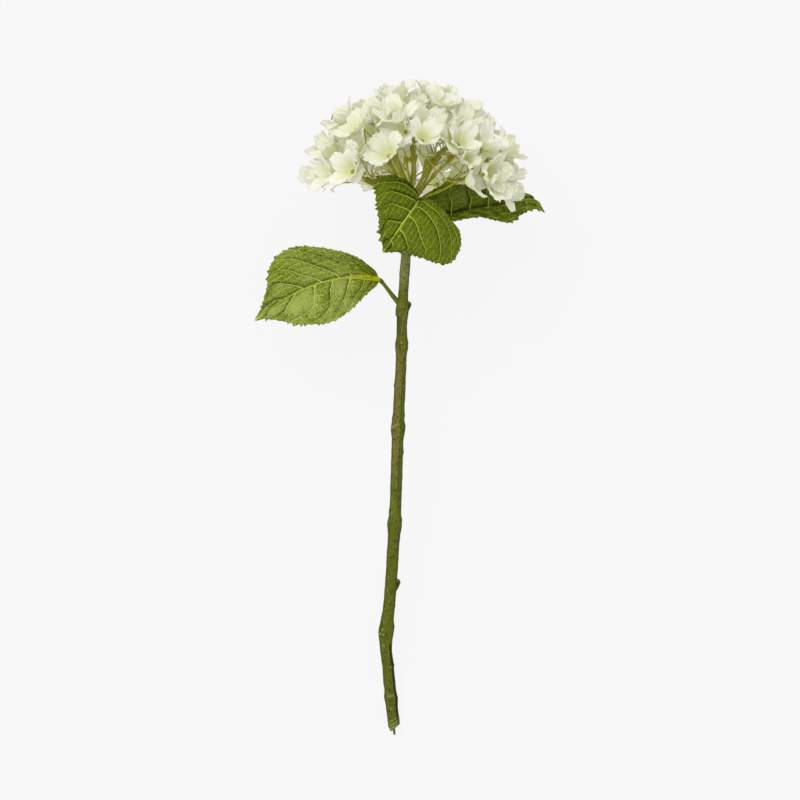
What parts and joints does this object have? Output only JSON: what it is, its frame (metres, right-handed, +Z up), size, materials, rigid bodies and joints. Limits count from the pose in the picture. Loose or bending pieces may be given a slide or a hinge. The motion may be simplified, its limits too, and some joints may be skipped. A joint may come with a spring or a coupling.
{
  "type": "artificial cut hydrangea",
  "caption": "Cut mophead hydrangea lying down: a cream bloom of four-petalled florets on a green woody stem with toothed leaves and a slanting cut end.",
  "frame": {"origin": "on the surface that it lies on, under the middle of its bounding box", "axes": "+Z up from the surface that it lies on, +Y along the stem from the cut end towards the bloom, +X to the side of the right leaf"},
  "size_m": [0.2157, 0.4805, 0.1558],
  "materials": {
    "stem_plastic": "moulded bark-textured green, with darker specks and pale scars",
    "wire_steel": "dull cut wire",
    "leaf_fabric": "printed green cloth with pale raised veins",
    "petal_fabric": "thin cream cloth, greener towards the eye",
    "stalk_plastic": "olive moulded plastic, slightly waxy"
  },
  "bodies": {
    "root": {"stem": "stem_plastic", "stem_wire": "wire_steel", "leaf_lower": "leaf_fabric", "leaf_front": "leaf_fabric", "leaf_right": "leaf_fabric", "spray_01": "petal_fabric", "spray_02": "petal_fabric", "spray_03": "petal_fabric", "spray_04": "petal_fabric", "spray_05": "petal_fabric", "spray_06": "petal_fabric", "spray_07": "petal_fabric", "spray_08": "petal_fabric", "spray_09": "petal_fabric", "spray_10": "petal_fabric", "spray_11": "petal_fabric", "spray_12": "petal_fabric"}
  },
  "joints": []
}
